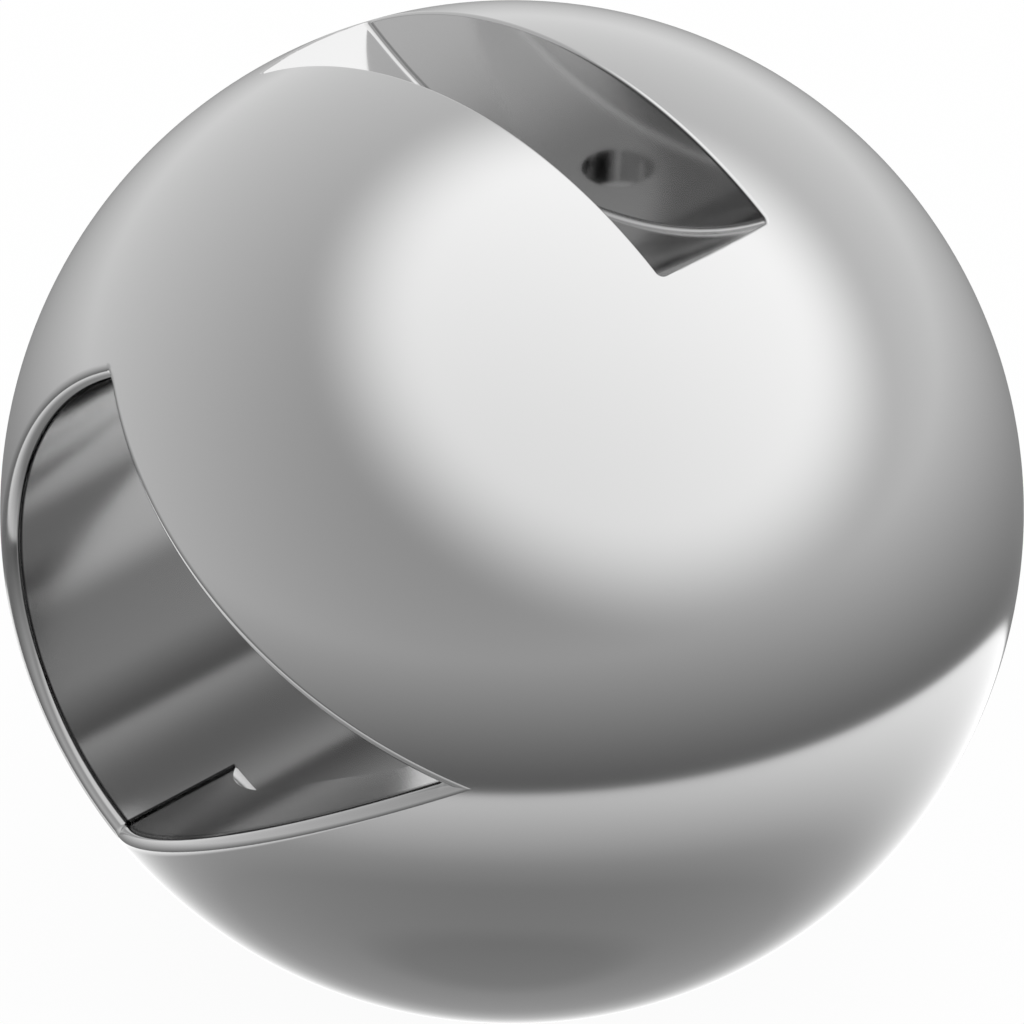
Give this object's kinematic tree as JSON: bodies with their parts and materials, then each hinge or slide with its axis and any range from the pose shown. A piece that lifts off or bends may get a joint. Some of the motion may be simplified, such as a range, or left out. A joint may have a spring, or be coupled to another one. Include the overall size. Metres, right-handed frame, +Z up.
{
  "type": "v-port valve ball",
  "caption": "Polished ball of a quarter-turn control valve: V-shaped port at the front, round bore at the back, stem slot on top.",
  "frame": {"origin": "centre of the ball, where the bore's axis crosses the stem's axis", "axes": "+Z up along the stem's axis, out of the stem slot; +X along the bore's axis, out of the V port; +Y along the slot, towards the apex of the V"},
  "size_m": [0.0735, 0.085, 0.0845],
  "materials": {
    "polished_steel": "mirror-polished stainless steel"
  },
  "bodies": {
    "root": {"v_port_ball": "polished_steel"}
  },
  "joints": []
}
